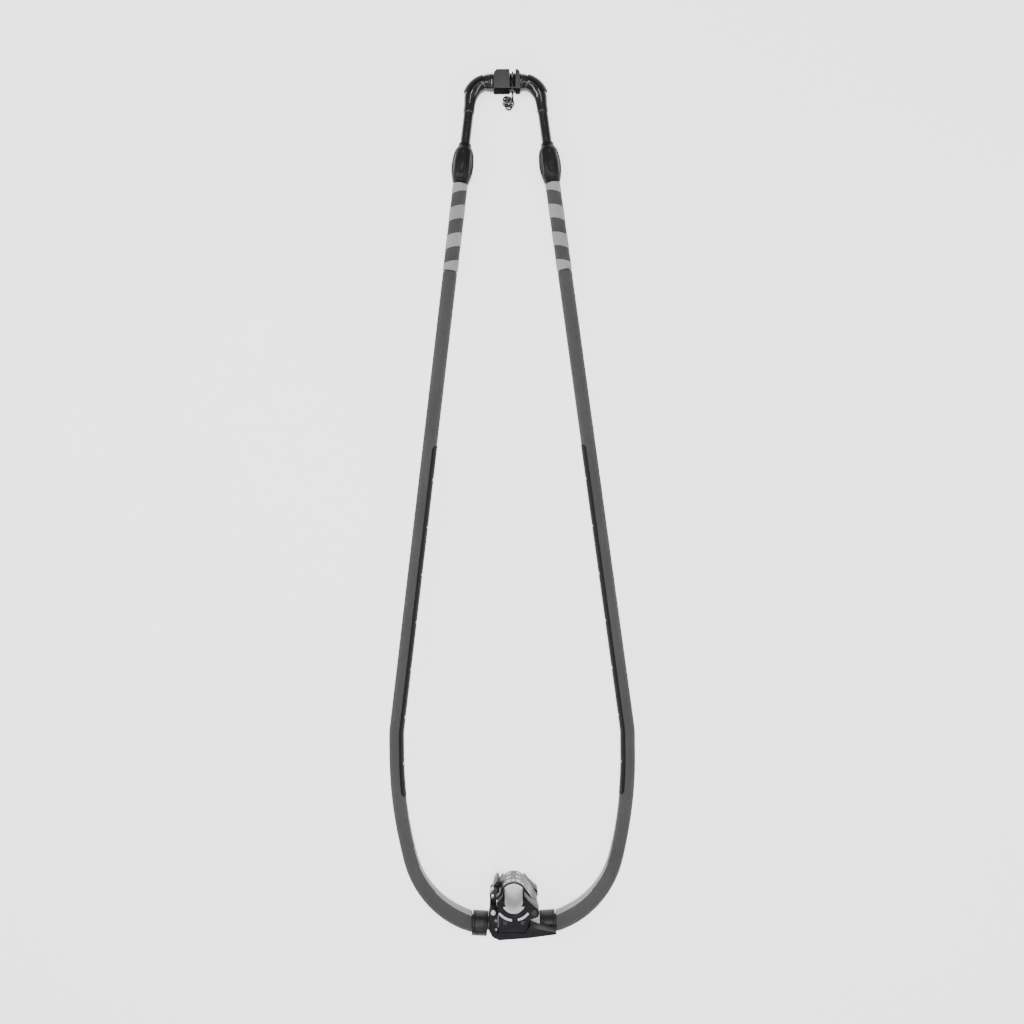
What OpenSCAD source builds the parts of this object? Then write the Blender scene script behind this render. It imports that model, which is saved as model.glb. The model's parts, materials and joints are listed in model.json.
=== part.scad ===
// Windsurfing wishbone boom: a clamp head, two bent arms with foam grips, and an extending tail.
// The origin is on the mast's axis at the head's middle height. +Z runs along the mast,
// +Y points to the tail, and the boom lies in the XY plane. Lengths are millimetres.

/* [Boom plan] */
// Distance from the mast's axis to the front tube's axis
mast_to_tube = 69.7; // [66:0.1:76]
// Half the length of the straight front tube
front_half = 64.7; // [62:0.1:68]
// Turn of the tight bend beside the cuff, in degrees
bend_turn = 15; // [13:0.5:17]
// Radius of the tight bend beside the cuff
bend_r = 60; // [50:1:70]
// Radius of the shoulder bend
shoulder_r = 190; // [180:1:200]
// Heading where the shoulder ends, in degrees from the tail direction
shoulder_end = 14.9; // [12:0.1:18]
// Radius of the long belly curve
belly_r = 840; // [780:5:900]
// Distance of the kink from the mast's axis, along the boom
kink_y = 333; // [320:1:345]
// Turn of the kink towards the middle, in degrees
kink_turn = 7.25; // [6.5:0.05:8]
// Distance of the arms' rear ends from the mast's axis, along the boom
arm_end_y = 1481.6; // [1440:1:1500]
// Distance of the tail's cross tube from the mast's axis, along the boom
tail_y = 1694; // [1690:1:1697]

/* [Tubes and grips] */
// Outer diameter of the arm tubes
arm_od = 26.4; // [26:0.1:27]
// Inner diameter of the arm tubes
arm_id = 21.8; // [21.7:0.1:22]
// Outer diameter of the tail's legs
leg_od = 21.4; // [21:0.1:21.5]
// Inner diameter of the tail's legs
leg_id = 17.4; // [15:0.1:18]
// Length of the legs inside the arms
leg_inside = 450; // [380:10:500]
// Outer diameter of the main grip foam
grip_od = 30.2; // [30:0.1:32]
// Outer diameter of the striped rear grip
rear_grip_od = 32; // [31:0.1:33]
// Length of the striped rear grip
rear_grip_length = 184; // [160:1:200]
// Outer diameter of the grip foam at the cuff
grip_front_od = 43; // [40:0.5:44]
// Thickness of the harness line pads
pad_thickness = 1; // [0.6:0.1:1.6]
// Rear end of the harness line pads, along the boom
pad_end_y = 937; // [900:1:960]

/* [Cuffs and locks] */
// Outer diameter of the rubber cuffs
cuff_od = 50; // [48:0.5:51]
// Length of the rubber cuffs
cuff_length = 32.5; // [31:0.5:33]
// Largest diameter of the twist locks
lock_od = 46.4; // [44:0.2:48]
// Diameter of the threaded sleeve inside the twist lock
thread_od = 30.8; // [30.4:0.1:31]
// Number of finger flutes round a twist lock
flutes = 6; // [5:1:8]

/* [Head] */
// Height of the head along the mast
head_h = 120; // [112:1:124]
// Bore of the mast clamp
mast_bore = 36; // [35:0.5:37]
// Outer diameter of the mast insert
insert_od = 48; // [47:0.5:49]
// Height of the closing strap
strap_h = 62; // [58:1:63]
// Thickness of the strap band
strap_t = 4; // [3:0.5:4.5]
// Thickness of the lever's arm, across its height
lever_h = 26; // [22:1:27]

/* [Tail] */
// Radius of the tail corners
corner_r = 40; // [36:1:42]
// Diameter of the tail corners
corner_od = 31; // [29:0.5:32]
// Diameter of the tail's cross tube
cross_od = 24; // [20:0.5:26]
// Diameter of the outhaul line
line_d = 4; // [3.5:0.1:4.5]

/* [Hidden] */
$fn = 64;
play = 0.05;
arm_overhang = 28;

// Headings are degrees from +Y towards +X, so a point moves by (sin, cos) of its heading.
function arc_x(x, r, from, to) = x + r * (cos(to) - cos(from));
function arc_y(y, r, from, to) = y + r * (sin(from) - sin(to));

bend_end = 90 - bend_turn;
bend_x = arc_x(front_half, bend_r, 90, bend_end);
bend_y = arc_y(-mast_to_tube, bend_r, 90, bend_end);
shoulder_x = arc_x(bend_x, shoulder_r, bend_end, shoulder_end);
shoulder_y = arc_y(bend_y, shoulder_r, bend_end, shoulder_end);
belly_x = arc_x(shoulder_x, belly_r, shoulder_end, 0);
belly_y = arc_y(shoulder_y, belly_r, shoulder_end, 0);
kink_r = 130;
kink_start_y = kink_y - kink_r * tan(kink_turn / 2);
kink_end_x = arc_x(belly_x, kink_r, 0, -kink_turn);
kink_end_y = arc_y(kink_start_y, kink_r, 0, -kink_turn);
arm_end_x = kink_end_x - (arm_end_y - kink_end_y) * tan(kink_turn);
straight_length = (arm_end_y - kink_end_y) / cos(kink_turn);
head_top = head_h / 2;
strap_top = strap_h / 2;
core_top = strap_top + 0.5;

// Points of a bend as [x, y, heading], in equal steps of heading
function bend(x, y, r, from, to, steps) =
    [for (i = [0:steps]) let (h = from + (to - from) * i / steps)
        [arc_x(x, r, from, h), arc_y(y, r, from, h), h]];
// The point at distance s past the arm's rear end, along its axis
function on_axis(s) = [arm_end_x - s * sin(kink_turn), arm_end_y + s * cos(kink_turn), -kink_turn];
// A closed round section, as [outward, up] pairs
function ring(r, sides) = [for (i = [0:sides - 1]) r * [cos(i * 360 / sides), sin(i * 360 / sides)]];
// A section set in space at a path point p = [x, y, heading]
function placed(section, p) =
    [for (q = section) [p.x + q[0] * cos(p[2]), p.y - q[0] * sin(p[2]), q[1]]];

// Sweeps one closed section after another along path points
module loft(path, sections) {
    m = len(sections[0]);
    n = len(path);
    points = [for (i = [0:n - 1]) each placed(sections[i], path[i])];
    walls = [for (i = [0:n - 2], j = [0:m - 1]) let (k = (j + 1) % m)
        each [[i * m + j, (i + 1) * m + j, (i + 1) * m + k], [i * m + j, (i + 1) * m + k, i * m + k]]];
    front = [[for (j = [0:m - 1]) j]];
    back = [[for (j = [m - 1:-1:0]) (n - 1) * m + j]];
    polyhedron(concat(points), concat(walls, front, back));
}

// Sweeps a hollow round section along path points
module hollow_loft(path, outer, inner, sides) {
    n = len(path);
    m = sides;
    points = [for (i = [0:n - 1], r = [outer[i], inner[i]]) each placed(ring(r, m), path[i])];
    function at(i, j, inside) = i * 2 * m + (inside ? m : 0) + j % m;
    skin = [for (i = [0:n - 2], j = [0:m - 1])
        each [[at(i, j, false), at(i + 1, j, false), at(i + 1, j + 1, false)],
            [at(i, j, false), at(i + 1, j + 1, false), at(i, j + 1, false)],
            [at(i, j, true), at(i + 1, j + 1, true), at(i + 1, j, true)],
            [at(i, j, true), at(i, j + 1, true), at(i + 1, j + 1, true)]]];
    ends = [for (j = [0:m - 1])
        each [[at(0, j, false), at(0, j + 1, false), at(0, j + 1, true)],
            [at(0, j, false), at(0, j + 1, true), at(0, j, true)],
            [at(n - 1, j, false), at(n - 1, j + 1, true), at(n - 1, j + 1, false)],
            [at(n - 1, j, false), at(n - 1, j, true), at(n - 1, j + 1, true)]]];
    polyhedron(points, concat(skin, ends));
}

// Mirrors the right-hand piece to make the left-hand one
module handed(side) {
    if (side == "left") mirror([1, 0, 0]) children();
    else children();
}

// Puts +Z along the arm's axis with the origin at distance s past the arm's rear end
module along_arm(s) {
    p = on_axis(s);
    translate([p.x, p.y, 0]) rotate([0, 0, kink_turn]) rotate([-90, 0, 0]) children();
}

module tube(od, id, length) {
    difference() {
        cylinder(d = od, h = length);
        translate([0, 0, -1]) cylinder(d = id, h = length + 2);
    }
}

// ---------- Arms ----------

module front_tube() {
    color("#3a3a3c") translate([-front_half, -mast_to_tube, 0]) rotate([0, 90, 0])
        tube(arm_od, arm_id, 2 * front_half);
}

// Path of the bent front of the arm as [x, y, frame heading, true heading]. The frame heading is
// the way a section faces. The grip's first sections are square to the cuff, not to the arm.
grip_sides = 20;
cuff_start_x = 55;
grip_start_x = cuff_start_x + cuff_length + 0.4;
grip_start_heading = acos(cos(bend_end) + (grip_start_x - bend_x) / shoulder_r);
square_on = 90;
square_off_turn = 20;
function grip_frame(h) =
    let (w = max(0, 1 - (grip_start_heading - h) / square_off_turn)) h + (square_on - h) * w * w;
function with_heading(points) = [for (p = points) [p.x, p.y, p[2], p[2]]];
grip_start_y = arc_y(bend_y, shoulder_r, bend_end, grip_start_heading);
shoulder_path = with_heading(
    bend(grip_start_x, grip_start_y, shoulder_r, grip_start_heading, shoulder_end, 14));
belly_bend = bend(shoulder_x, shoulder_y, belly_r, shoulder_end, 0, 6);
belly_path = with_heading(concat([for (i = [1:6]) belly_bend[i]],
    bend(belly_x, kink_start_y, kink_r, 0, -kink_turn, 3)));

// The bent front of the arm ends at the kink, where the straight rear tube begins.
module arm_bend(side) {
    near = with_heading(concat([[front_half, -mast_to_tube, 90]],
        bend(bend_x, bend_y, shoulder_r, bend_end, grip_start_heading, 1)));
    path = concat(near, [for (i = [1:14]) shoulder_path[i]], belly_path);
    color("#3a3a3c") handed(side)
        hollow_loft(path, [for (p = path) arm_od / 2], [for (p = path) arm_id / 2], grip_sides);
}

module arm_tube(side) {
    color("#3a3a3c") handed(side) along_arm(play - straight_length)
        tube(arm_od, arm_id, straight_length + arm_overhang - play);
}

// The grip's foam covers the arm from the cuff to the striped rear grip.
function grip_path() = concat(
    [for (p = shoulder_path) [p.x, p.y, grip_frame(p[3]), p[3]]], belly_path,
    with_heading([on_axis(-rear_grip_length - 3)]));
// The foam tapers from the cuff to where the arm runs straight back.
grip_taper_end_y = 125;
function grip_r(y) =
    let (t = min(1, max(0, (y + mast_to_tube) / (grip_taper_end_y + mast_to_tube))))
    grip_front_od / 2 - (grip_front_od - grip_od) / 2 * (t * (2 - t));

module grip(side) {
    path = grip_path();
    inner_r = arm_od / 2 + 0.35;
    color("#5a5a5a") handed(side)
        hollow_loft(path, [for (p = path) grip_r(p.y)],
            [for (p = path) inner_r / cos(p[2] - p[3])], grip_sides);
}

// The pads lie on the inner side of the grips, where the harness lines are tied.
pad_half_angle = 63;
pad_start_heading = 5.7;
pad_steps = 8;
function pad_section(r, t) = concat(
    [for (i = [0:pad_steps]) let (a = 180 - pad_half_angle + i * 2 * pad_half_angle / pad_steps)
        (r + 0.25) * [cos(a), sin(a)]],
    [for (i = [pad_steps:-1:0]) let (a = 180 - pad_half_angle + i * 2 * pad_half_angle / pad_steps)
        (r + 0.25 + t * (0.4 + 0.6 * sin(i * 180 / pad_steps))) * [cos(a), sin(a)]]);
module harness_pad(side) {
    start_x = arc_x(shoulder_x, belly_r, shoulder_end, pad_start_heading);
    start_y = arc_y(shoulder_y, belly_r, shoulder_end, pad_start_heading);
    pad_end = (pad_end_y - arm_end_y) / cos(kink_turn);
    path = concat(bend(start_x, start_y, belly_r, pad_start_heading, 0, 4),
        bend(belly_x, kink_start_y, kink_r, 0, -kink_turn, 3), [on_axis(pad_end - 12), on_axis(pad_end)]);
    last = len(path) - 1;
    color("#1e1e1e") handed(side)
        loft(path, [for (i = [0:last])
            pad_section(grip_r(path[i].y), i == 0 || i == last ? 0.6 : pad_thickness)]);
}

module rear_grip(side) {
    color("#8c8c8c") handed(side) along_arm(-rear_grip_length)
        tube(rear_grip_od, arm_od + 2 * play, rear_grip_length - 1);
}

// ---------- Cuffs ----------

module cuff(side) {
    lip = 2.5;
    slope = 4;
    bore_r = 21.4;
    neck_r = arm_od / 2 + 1.2;
    color("#1c1c1c") handed(side)
        translate([cuff_start_x, -mast_to_tube - 0.4, 0]) rotate([0, 0, slope]) rotate([0, 90, 0])
            rotate_extrude() polygon([
                [neck_r, 0], [cuff_od / 2 - lip, 0], [cuff_od / 2, lip],
                [cuff_od / 2, cuff_length - lip], [cuff_od / 2 - 1, cuff_length - 1],
                [bore_r, cuff_length - 1], [bore_r, 12], [neck_r, 7]]);
}

// ---------- Twist locks ----------

lock_front = 3;
lock_rear = 85;
collet_front = 29;
collet_rear = 60;

module lock_base(side) {
    root = thread_od / 2 - 0.7;
    pitch = 4;
    color("#2b2b2d") handed(side) along_arm(0) rotate_extrude()
        polygon(concat([[arm_od / 2 + play, 1], [root, 1]],
            [for (i = [0:10]) each [[root, 2 + i * pitch], [thread_od / 2, 3 + i * pitch],
                [thread_od / 2, 4 + i * pitch], [root, 5 + i * pitch]]],
            [[root, 46], [arm_od / 2 + play, 46]]));
}

module collet(side) {
    slots = 3;
    color("#d0d0d0") handed(side) along_arm(0) difference() {
        rotate_extrude() polygon([[leg_od / 2 + play, collet_front], [13, collet_front], [13, 46.5],
            [14.6, 48], [13.2, collet_rear], [leg_od / 2 + play, collet_rear]]);
        for (i = [0:slots - 1]) rotate([0, 0, i * 360 / slots])
            translate([0, -1, 36]) cube([20, 2, 30]);
    }
}

module lock_nut(side) {
    flute_r = 4.5;
    color("#232325") handed(side) along_arm(0) difference() {
        rotate_extrude() polygon([
            [thread_od / 2 + 0.08, lock_front], [16.6, lock_front], [17.6, 6], [19.2, 11], [20.9, 17],
            [22.2, 25], [22.9, 32], [lock_od / 2, 40], [22.7, 48], [21.9, 55], [20.8, 62],
            [19.4, 68], [17.6, 72], [15, 76], [13.9, 79], [13.4, lock_rear], [11, lock_rear],
            [11, 79], [13.5, 79], [13.5, 61], [15.1, 48.5], [15.1, 46.5], [thread_od / 2 + 0.08, 46.5]]);
        for (i = [0:flutes - 1]) rotate([0, 0, (i + 0.5) * 360 / flutes])
            translate([lock_od / 2 + flute_r - 1.7, 0, 18]) cylinder(r = flute_r, h = 44);
    }
}

module seal_ring(side) {
    color("#111111") handed(side) along_arm(0) rotate_extrude()
        polygon([[10.78, 64], [13.3, 64], [13.3, 77], [10.78, 77]]);
}

// ---------- Head ----------

pin_x = 42;
pin_y = -22;
pivot_x = -43;
pivot_y = -4;
link_x = -42;
link_y = -22;
hook_x = -37;
hook_y = 12;
pin_r = 3.5;
lever_pin_r = 4.8;
clamp_r = 21.5;
clamp_left = -46;
clamp_right = 53;
front_y = -62;

module flat_plan(points, low, high) {
    translate([0, 0, low]) linear_extrude(high - low) polygon(points);
}

module tube_space(r) {
    translate([-100, -mast_to_tube, 0]) rotate([0, 90, 0]) cylinder(r = r, h = 200);
}

module insert_seat() {
    translate([0, 0, -100]) cylinder(d = insert_od + 2 * play, h = 200);
}

// The frame of the head clamps the front tube and backs the mast insert.
module head_core() {
    ear_h = 8;
    color("#c4c4c8") difference() {
        union() {
            flat_plan([[-25.2, -1.5], [-31, -11], [-33, -36], [-44, -42], [-44, -62],
                [53, -62], [53, -38], [33, -34], [31, -11], [25.2, -1.5]], -core_top, core_top);
            translate([clamp_left, -mast_to_tube, 0]) rotate([0, 90, 0])
                cylinder(r = clamp_r, h = clamp_right - clamp_left);
            translate([pivot_x, pivot_y, -ear_h]) cylinder(r = 7, h = 2 * ear_h);
            flat_plan([[pivot_x, -11], [-28, -14], [-28, 0], [pivot_x, 3]], -ear_h, ear_h);
        }
        insert_seat();
        tube_space(arm_od / 2 + 1);
        translate([pivot_x, pivot_y, -50]) cylinder(r = lever_pin_r + play, h = 100);
        for (x = [-18, 18]) translate([x, -42, -50]) cylinder(r = 2.6, h = 100);
    }
}

module front_bushes() {
    color("#e8e8e8") for (x = [clamp_left, clamp_right - 12])
        translate([x, -mast_to_tube, 0]) rotate([0, 90, 0])
            tube(arm_od + 2 * 0.97, arm_od + 2 * 0.06, 12);
}

// Right-hand outline of the shells, from the wing beside the mast down to the front
shell_plan_right = [[22.5, 11], [25, 9.5], [29.5, 3], [34, -1.5], [44, -11], [50, -16], [52, -24], [49, -31],
    [41, -34], [34, -36], [29.5, -43], [29, -49.5], [25.5, -57.5], [22.7, front_y]];
upper_left = [[-31, front_y], [-31, -28], [-33, -24], [-33, -12],
    [-34, -1.5], [-29.5, 3], [-25, 9.5], [-22.5, 11]];

module upper_shell() {
    color("#1b1b20") difference() {
        flat_plan(concat(shell_plan_right, upper_left), core_top + play, head_top);
        insert_seat();
        translate([pin_x, pin_y, -100]) cylinder(r = pin_r + play, h = 200);
        for (x = [-18, 18]) translate([x, -42, -100]) cylinder(r = 2.6, h = 200);
        inlay_rings(0.05, 3.05);
    }
}

module lower_shell() {
    left = [for (i = [len(shell_plan_right) - 1:-1:0]) [-shell_plan_right[i].x, shell_plan_right[i].y]];
    color("#1b1b20") difference() {
        flat_plan(concat(shell_plan_right, left), -head_top, -core_top - play);
        insert_seat();
        translate([pin_x, pin_y, -100]) cylinder(r = pin_r + play, h = 200);
        for (x = [-18, 18]) translate([x, -42, -100]) cylinder(r = 2.6, h = 200);
    }
}

module mast_insert() {
    color("#d9d9da") difference() {
        translate([0, 0, -head_top]) tube(insert_od, mast_bore, head_h);
        translate([-50, -0.5, -100]) cube([100, 100, 200]);
    }
}

// Two curved strips let into the top of the head, round the front of the mast
inlay_r = 37.3;
module inlay_rings(grow, depth) {
    for (span = [[-143, -96], [-77.5, -38]]) translate([0, 0, head_top - depth]) rotate([0, 0, span[0]])
        rotate_extrude(angle = span[1] - span[0])
            translate([inlay_r - 2.4 - grow, 0]) square([4.8 + 2 * grow, depth + 1]);
}
module inlay_arcs() {
    color("#e4e4e6") intersection() {
        inlay_rings(0, 3);
        translate([-60, -60, 0]) cube([120, 120, head_top]);
    }
}

module headed_pin(x, y, low, high, r, head_r, head_t) {
    translate([x, y, low]) cylinder(r = r, h = high - low);
    translate([x, y, high]) cylinder(r = head_r, h = head_t);
    translate([x, y, low - head_t]) cylinder(r = head_r - 1, h = head_t);
}

module lug_pin() {
    color("#6a6a70") headed_pin(pin_x, pin_y, -head_top, head_top, pin_r, 6.2, 2);
}

module lever_pin() {
    color("#c8c8cc") translate([pivot_x, pivot_y, -24]) cylinder(r = lever_pin_r, h = 48);
}

module shell_bolts() {
    color("#3a3a3e") for (x = [-18, 18]) headed_pin(x, -42, -head_top, head_top, 2.5, 4.4, 1.5);
}

// ---------- Lever ----------

lever_low = core_top + 0.6;
lever_high = lever_low + lever_h;
ear_low = 8.1;
ear_high = 23.9;
lever_rivet_x = -36.4;
lever_rivet_ys = [-38, -56];
// Outline of the lever's arm. Its inner side clears the shell as it swings out round the pivot.
lever_plan = [[-49, -15], [-52, -30], [-51, -58], [-44, -72], [-30, -78.5], [28, -75], [60, -71], [84, -68],
    [86, -66], [84, -63.5], [52, -57], [33, -49.2], [28.9, -56], [23.2, -63], [22, -64.5], [-33.4, -64.5],
    [-33.4, -26], [-35, -18]];
module lever() {
    color("#202024") difference() {
        union() {
            flat_plan(lever_plan, lever_low, lever_high);
            for (low = [ear_low, -ear_high]) {
                flat_plan([[pivot_x - 6, pivot_y + 4], [pivot_x + 6, pivot_y + 4], [-36, -24], [-38, -36],
                    [-50, -36], [-50, -29]], low, low + ear_high - ear_low);
                translate([pivot_x, pivot_y, low]) cylinder(r = 7, h = ear_high - ear_low);
            }
            flat_plan([[-50, -36], [-38, -36], [-38, -30], [-50, -30]], -ear_high, lever_low + 1);
        }
        translate([pivot_x, pivot_y, -50]) cylinder(r = lever_pin_r + 2 * play, h = 80);
        translate([link_x, link_y, -50]) cylinder(r = 3 + play, h = 200);
        for (y = lever_rivet_ys) translate([lever_rivet_x, y, lever_low - 1])
            cylinder(r = 1.6, h = lever_h + 2);
    }
}

module lever_rivets() {
    color("#d8d8dc") for (y = lever_rivet_ys) translate([lever_rivet_x, y, 0]) {
        translate([0, 0, lever_low]) cylinder(r = 1.55, h = lever_h);
        translate([0, 0, lever_high]) cylinder(r = 2.8, h = 1);
    }
}

module link_pin() {
    color("#c8c8cc") translate([link_x, link_y, 0]) {
        translate([0, 0, -30.2]) cylinder(r = 2.95, h = 30.2 + lever_high);
        translate([0, 0, lever_high]) cylinder(r = 5, h = 1.2);
    }
}

// ---------- Link ----------

link_low = 24.2;
link_high = 29.8;
module link_plates() {
    color("#b9b9bd") for (low = [link_low, -link_high]) difference() {
        union() {
            translate([link_x, link_y, low]) cylinder(r = 5.5, h = link_high - link_low);
            flat_plan([[link_x - 1, link_y - 2], [link_x + 4.5, link_y - 2], [hook_x + 3, hook_y],
                [hook_x - 3, hook_y]], low, low + link_high - link_low);
            translate([hook_x, hook_y, low]) cylinder(r = 4.5, h = link_high - link_low);
            translate([hook_x, hook_y, low > 0 ? link_low - 4 : -link_low]) cylinder(r = 2.5, h = 4);
        }
        translate([link_x, link_y, -60]) cylinder(r = 3 + play, h = 120);
    }
}

// ---------- Strap ----------

strap_inner = 24.5;
strap_outer = strap_inner + strap_t;
strap_mid = strap_inner + strap_t / 2;
// The strap's straight right-hand run passes this far outside the lug pin's axis
run_side = 5;
function polar(r, a) = r * [cos(a), sin(a)];
function arc_points(r, from, to, steps) = [for (i = [0:steps]) polar(r, from + (to - from) * i / steps)];
// Angles where the straight runs of the strap leave the circle round the mast
right_tangent = atan2(pin_y, pin_x) + acos((strap_mid - run_side) / norm([pin_x, pin_y]));
left_tangent = 165;
band_top = strap_top - 0.5;

// A point on the strap's straight right-hand run: t from its start beside the lug pin, and off outwards
run_start = [pin_x, pin_y] + polar(run_side, right_tangent);
run_length = norm(polar(strap_mid, right_tangent) - run_start);
function run_point(t, off) = run_start
    + t * (polar(strap_mid, right_tangent) - run_start) / run_length + polar(off, right_tangent);
lug_reach = 14;
run_windows_at = 27;

module strap_band() {
    steps = 30;
    tongue_h = 36;
    color("#7f7f7f") difference() {
        union() {
            flat_plan(concat(arc_points(strap_outer, left_tangent, right_tangent, steps),
                [run_point(lug_reach, strap_t / 2), run_point(lug_reach, -strap_t / 2)],
                arc_points(strap_inner, right_tangent, left_tangent, steps)), -band_top, band_top);
            flat_plan([polar(strap_inner + 1, left_tangent - 5), polar(strap_outer - 1, left_tangent - 5),
                [-29.35, 12], [-29.35, 18]], -tongue_h / 2, tongue_h / 2);
        }
        for (a = [69, 111], z = [-19.5, 0, 19.5]) window(a, z, 8, 10.5);
        for (a = [48, 90, 132]) window(a, 19.5, 5, 5);
        for (z = [-19.5, 0, 19.5]) translate(run_point(run_windows_at, 0)) rotate([0, 0, right_tangent])
            translate([-strap_t, -4, z - 5.25]) cube([2 * strap_t, 8, 10.5]);
    }
}

// A window through the strap at an angle round the mast
module window(angle, z, width, height) {
    rotate([0, 0, angle]) translate([strap_inner - 2, -width / 2, z - height / 2])
        cube([strap_t + 4, width, height]);
}

module strap_lug() {
    color("#2a2a2e") difference() {
        union() {
            translate([pin_x, pin_y, -band_top]) cylinder(r = 7, h = 2 * band_top);
            flat_plan([run_point(0, 2), run_point(lug_reach - 0.1, 2), run_point(lug_reach - 0.1, -2.2),
                run_point(0, -8)], -band_top, band_top);
        }
        translate([pin_x, pin_y, -50]) cylinder(r = pin_r + 2 * play, h = 100);
    }
}

module strap_pad() {
    inner_r = mast_bore / 2 + 0.4;
    color("#9a9a9e") translate([0, 0, -band_top + 3]) rotate([0, 0, 38]) rotate_extrude(angle = 104)
        translate([inner_r, 0]) square([strap_inner - 0.3 - inner_r, 2 * band_top - 6]);
}

module buckle() {
    slot = 3.2;
    color("#26262a") difference() {
        flat_plan([[-29.4, 4], [-34, 2], [-41.5, 8], [-41.5, 18], [-35, 27], [-32, 27], [-29.4, 20]],
            -23.5, 23.5);
        for (z = [link_low - 4.4, -link_low]) translate([hook_x - 14, hook_y - 8, z - 0.3])
            cube([14 + slot, 8 + slot, 4.9]);
    }
}

module strap_rivets() {
    color("#d8d8dc") for (z = [-12, 12]) translate([-42.95, 13, z]) rotate([0, 90, 0])
        cylinder(r = 2.6, h = 1.4);
}

// ---------- Tail ----------

corner_start = 150;
bend_sweep = 90 - kink_turn;
corner_entry_y = tail_y - corner_r * (1 - sin(kink_turn));
corner_entry = (corner_entry_y - arm_end_y) / cos(kink_turn);
housing_left = -24;
housing_right = 8.7;
cheek_left = 21;
cheek_right = 30;
leg_socket = corner_entry - 2;

module leg(side) {
    color("#0e0e10") handed(side) along_arm(-leg_inside) difference() {
        cylinder(d = leg_od, h = leg_inside + leg_socket - 0.1);
        translate([0, 0, 4]) cylinder(d = leg_id, h = leg_inside + leg_socket);
    }
}

module corner(side) {
    p = on_axis(corner_entry);
    sides = 28;
    path = concat([on_axis(corner_start), on_axis((corner_start + corner_entry) / 2)],
        bend(p.x, p.y, corner_r, -kink_turn, -90, 9), [[34, tail_y, -90]]);
    last = len(path) - 1;
    socket = corner_entry - corner_start;
    color("#161618") handed(side) difference() {
        loft(path, [for (i = [0:last])
            ring(corner_od / 2 - (i < 4 ? (4 - i) * (4 - i) * 0.22 : 0) + max(0, i - 10) * 1.2, sides)]);
        along_arm(corner_start - 1) cylinder(d = leg_od + 2 * play, h = socket - 1);
    }
}

// A raised guard hugs the outer side of each corner.
module bumper(side) {
    p = on_axis(corner_entry);
    guard = 2.2;
    color("#101012") handed(side)
        translate([p.x - corner_r * cos(-kink_turn), p.y + corner_r * sin(-kink_turn), 0])
            rotate([0, 0, kink_turn + 14]) rotate_extrude(angle = bend_sweep - 28) translate([corner_r, 0])
                intersection() {
                    difference() {
                        circle(d = corner_od + 2 * guard);
                        circle(d = corner_od + 2 * play);
                    }
                    translate([3, -30]) square([30, 60]);
                }
}

module cross_tube() {
    color("#2c2c2e") translate([-33.9, tail_y, 0]) rotate([0, 90, 0]) tube(cross_od, cross_od - 5, 67.8);
}

module on_cross(x, r, length) {
    translate([x, tail_y, 0]) rotate([0, 90, 0]) cylinder(r = r, h = length);
}

// Outlines of the housing and of the cheek, seen along the mast
housing_front = 1671.5;
housing_plan = [[-24, housing_front], [-24, 1704.5], [-18.5, 1711], [8.7, 1711], [8.7, housing_front]];
cheek_plan = [[21, housing_front], [21, 1711], [26, 1711], [30, 1706], [30, housing_front]];
housing_h = 25;
// The front face leans back below the middle, as [along the boom, along the mast]
undercut = [[1660, 1], [housing_front, 1], [1681, -24], [1684, -25.1], [1684, -30], [1660, -30]];
module lean_back() {
    translate([-50, 0, 0]) rotate([90, 0, 90]) linear_extrude(100) polygon(undercut);
}
// Places of the two screws that tie the cheek to the housing, as [along the boom, along the mast]
tail_screw_spots = [[1676, 19], [1684.5, -21]];
module tail_screw_holes() {
    for (p = tail_screw_spots) translate([-30, p[0], p[1]]) rotate([0, 90, 0]) cylinder(r = 2.05, h = 70);
}
module tail_housing() {
    color("#4a4a4a") difference() {
        flat_plan(housing_plan, -housing_h, housing_h);
        on_cross(-60, cross_od / 2 + play, 120);
        lean_back();
        tail_screw_holes();
    }
}

module tail_cheek() {
    color("#3c3c3e") difference() {
        flat_plan(cheek_plan, -housing_h + 1, housing_h - 1);
        on_cross(-60, cross_od / 2 + play, 120);
        lean_back();
        tail_screw_holes();
    }
}

module tail_spacers() {
    color("#18181a") for (x = [-33.8, 30.1]) translate([x, tail_y, 0]) rotate([0, 90, 0])
        tube(37, cross_od + 2 * play, x < 0 ? 9.7 : 3.8);
}

module tail_screws() {
    color("#2a2a2c") for (p = tail_screw_spots) translate([0, p[0], p[1]]) rotate([0, 90, 0]) {
        translate([0, 0, -24]) cylinder(r = 2, h = 54);
        translate([0, 0, -26]) cylinder(r = 3.6, h = 2);
        translate([0, 0, cheek_right]) cylinder(r = 3.6, h = 2);
    }
}

// The cleat sits in the channel's floor and bites the line.
module cleat() {
    color("#b4b4b6") difference() {
        translate([housing_right + 0.1, 1702.5, -24]) cube([cheek_left - housing_right - 0.2, 8, 6.2]);
        for (i = [0:2]) translate([0, 1704 + i * 2.6, -17.8]) rotate([0, 90, 0]) cylinder(r = 1, h = 40);
    }
}

roller_groove = 16.5;
module line_roller() {
    w = cheek_left - housing_right;
    color("#1a1a1c") translate([housing_right, tail_y, 0]) rotate([0, 90, 0]) rotate_extrude() polygon([
        [cross_od / 2 + 0.06, 0.2], [19, 0.2], [19, 1.4], [roller_groove, 4], [roller_groove, w - 4],
        [19, w - 1.4], [19, w - 0.2], [cross_od / 2 + 0.06, w - 0.2]]);
}

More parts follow.
